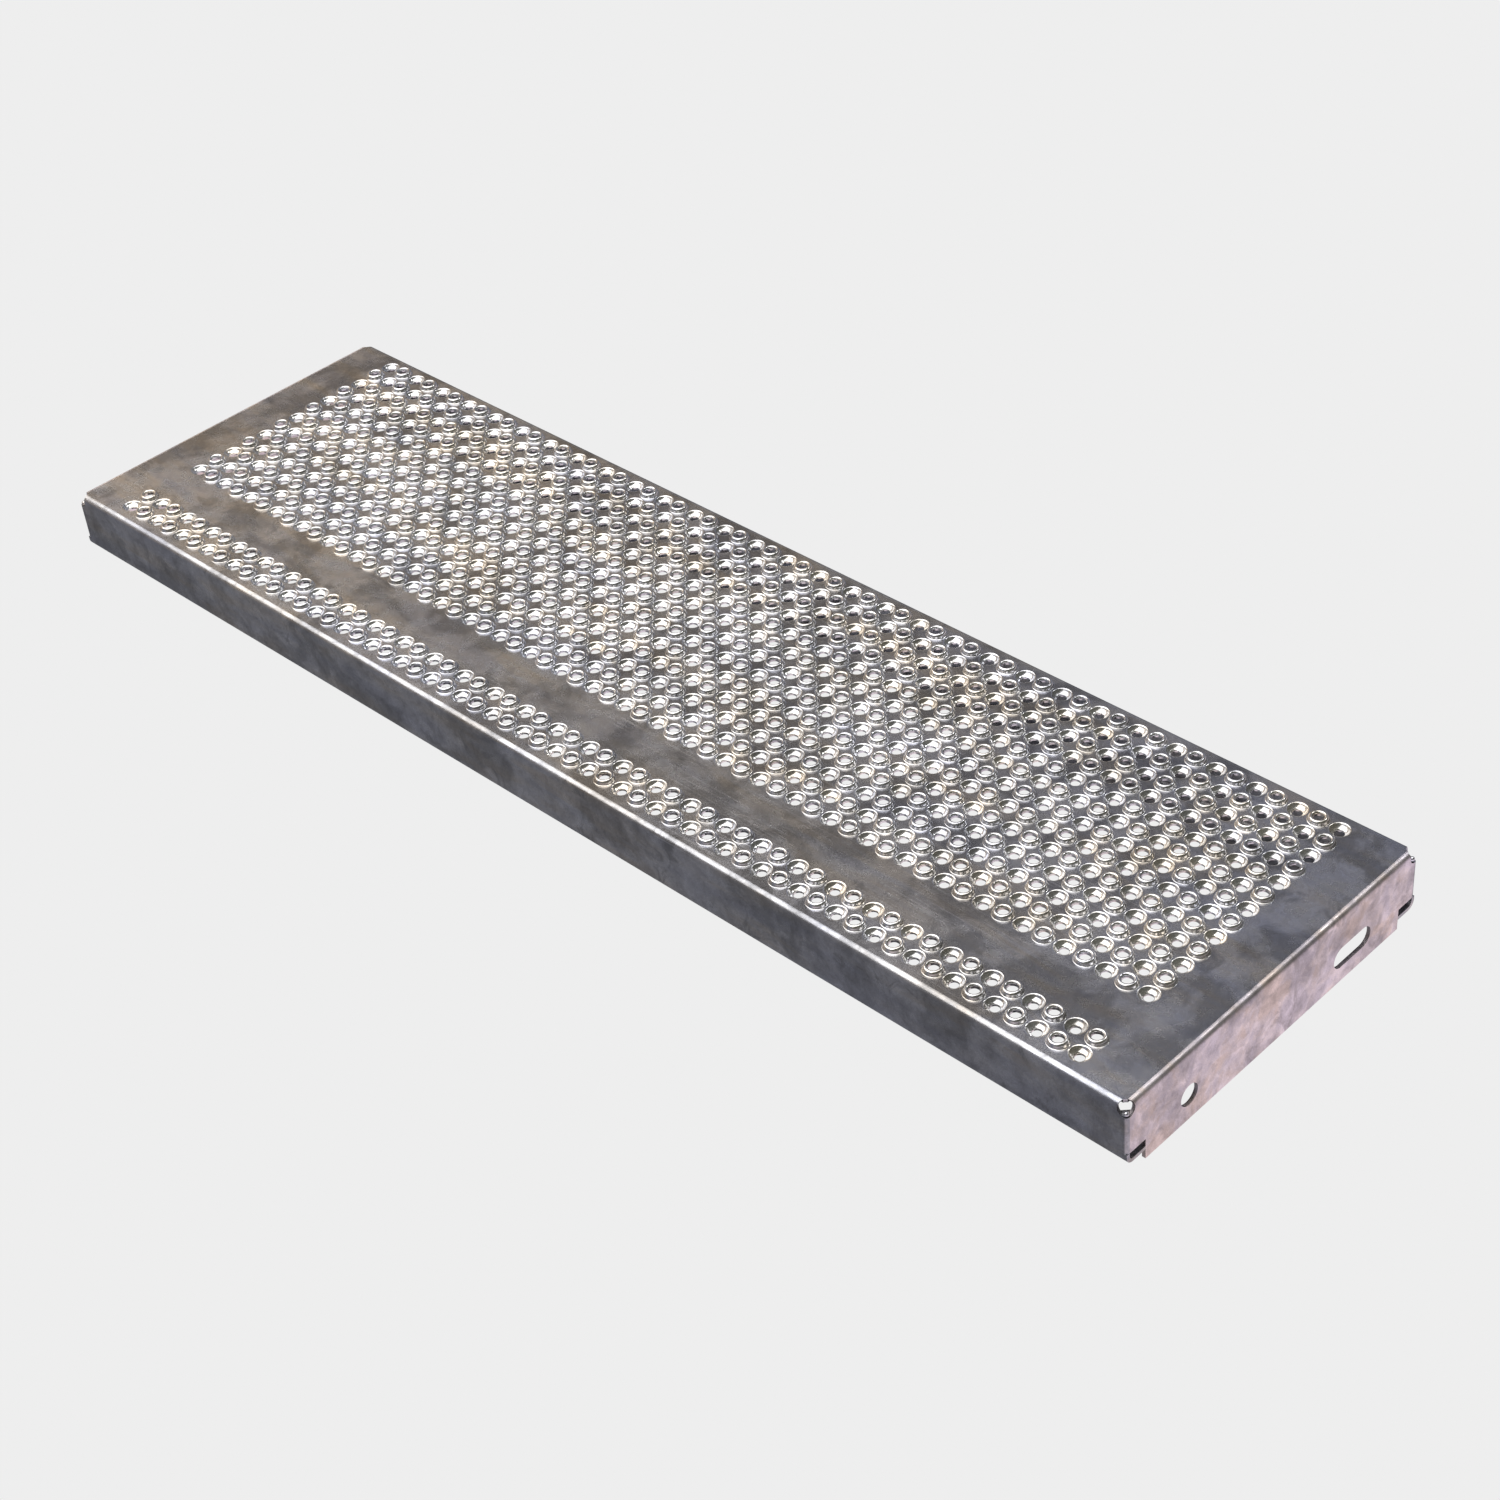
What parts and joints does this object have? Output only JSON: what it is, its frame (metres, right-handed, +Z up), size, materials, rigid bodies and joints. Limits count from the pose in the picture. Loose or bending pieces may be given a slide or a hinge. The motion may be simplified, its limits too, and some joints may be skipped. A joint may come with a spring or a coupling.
{
  "type": "perforated metal plank",
  "caption": "Folded galvanised steel plank with a perforated anti-slip walking surface, down-turned sides and bolted end plates.",
  "frame": {"origin": "under the middle of the plank, level with the lower edges of the two end flanges", "axes": "+X along the length, +Y across from the front side (narrow two-row band) to the rear side, +Z up out of the walking surface"},
  "size_m": [0.96, 0.27, 0.054],
  "materials": {
    "deck_zinc": "hot-dip galvanised, mottled, lightly scratched, bright at the formed hole rims",
    "side_zinc": "hot-dip galvanised, mottled",
    "end_zinc": "hot-dip galvanised, mottled, scuffed",
    "weld_zinc": "galvanised weld bead"
  },
  "bodies": {
    "root": {"deck_panel": "deck_zinc", "front_side_flange": "side_zinc", "rear_side_flange": "side_zinc", "left_end_flange": "end_zinc", "right_end_flange": "end_zinc", "corner_weld_front_left": "weld_zinc", "corner_weld_front_right": "weld_zinc", "corner_weld_rear_left": "weld_zinc", "corner_weld_rear_right": "weld_zinc"}
  },
  "joints": []
}
